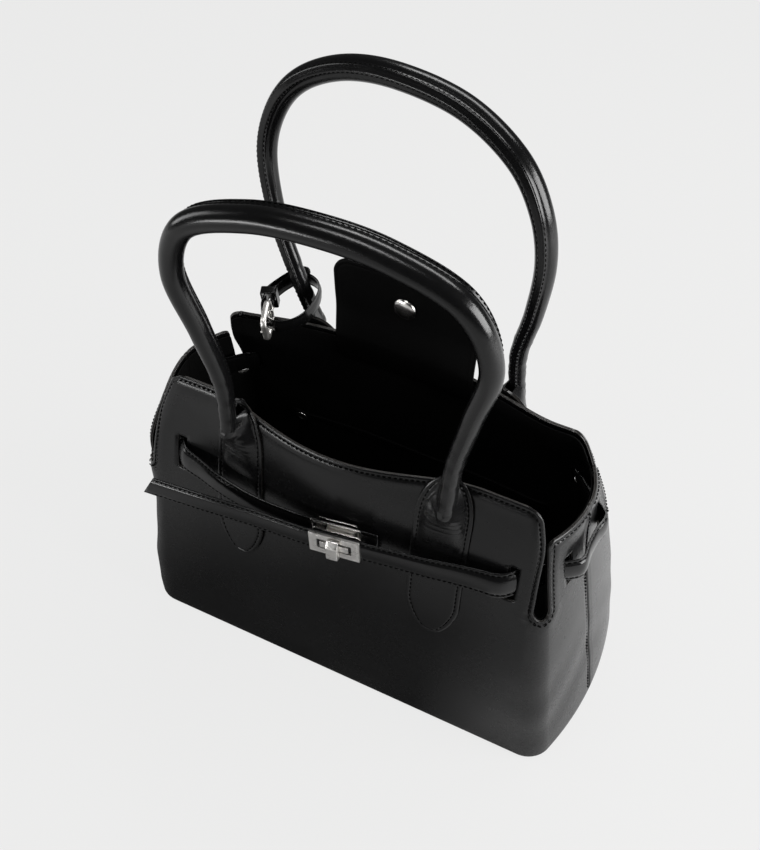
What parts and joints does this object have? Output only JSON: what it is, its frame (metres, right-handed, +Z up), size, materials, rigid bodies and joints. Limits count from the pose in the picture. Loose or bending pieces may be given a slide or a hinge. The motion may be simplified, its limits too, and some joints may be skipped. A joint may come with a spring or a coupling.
{
  "type": "leather tote bag",
  "caption": "Soft black leather tote with two arched handles, a belt woven through slots to a front turn lock, a closing flap and a small buckled strap.",
  "frame": {"origin": "middle of the underside of the base, on the surface the bag stands on", "axes": "+Z up, -Y towards the front with the lock, +X towards the right as seen from the front"},
  "size_m": [0.3276, 0.1703, 0.4091],
  "materials": {
    "black_leather": "smooth semi-gloss",
    "silver_metal": "brushed silver",
    "lining_cloth": "matte",
    "stiff_board": "matte"
  },
  "bodies": {
    "bag": {"front_shell": "black_leather", "back_shell": "black_leather", "lining": "lining_cloth", "base_panel": "black_leather", "base_board": "stiff_board", "inner_pocket": "black_leather", "pocket_stud": "silver_metal", "front_magnet": "black_leather", "tab_front_left": "black_leather", "tab_front_right": "black_leather", "tab_back_left": "black_leather", "tab_back_right": "black_leather", "belt": "black_leather", "lock_rear_plate": "silver_metal", "lock_base": "silver_metal", "lock_washer": "silver_metal", "lock_frame": "silver_metal"},
    "toggle": {"lock_toggle": "silver_metal"},
    "flap": {"closure_flap": "black_leather", "flap_snap": "silver_metal"},
    "front_handle": {"handle_front": "black_leather"},
    "back_handle": {"handle_back": "black_leather"},
    "buckled_strap": {"charm_strap": "black_leather", "charm_keeper": "black_leather", "buckle_frame": "silver_metal", "buckle_prong": "silver_metal"}
  },
  "joints": [
    {"name": "toggle_turn", "type": "hinge", "parent": "bag", "child": "toggle", "pos_m": [0.0085, -0.0605, 0.162], "axis": [0.1392, -0.9903, 0], "range_deg": [0, 90]},
    {"name": "flap_fold", "type": "hinge", "parent": "bag", "child": "flap", "pos_m": [-0.0022, 0.0487, 0.217], "axis": [1, 0, 0], "range_deg": [-20, 90]},
    {"name": "front_handle_swing", "type": "hinge", "parent": "bag", "child": "front_handle", "pos_m": [0, -0.0541, 0.1935], "axis": [0.9999, 0.0144, 0], "range_deg": [-6, 80]},
    {"name": "back_handle_swing", "type": "hinge", "parent": "bag", "child": "back_handle", "pos_m": [0, 0.05971, 0.1935], "axis": [-0.9997, 0.0257, 0], "range_deg": [-4, 80]},
    {"name": "strap_swing", "type": "hinge", "parent": "back_handle", "child": "buckled_strap", "pos_m": [-0.0856, 0.0597, 0.2285], "axis": [0, 0, 1], "range_deg": [-2, 25]}
  ]
}
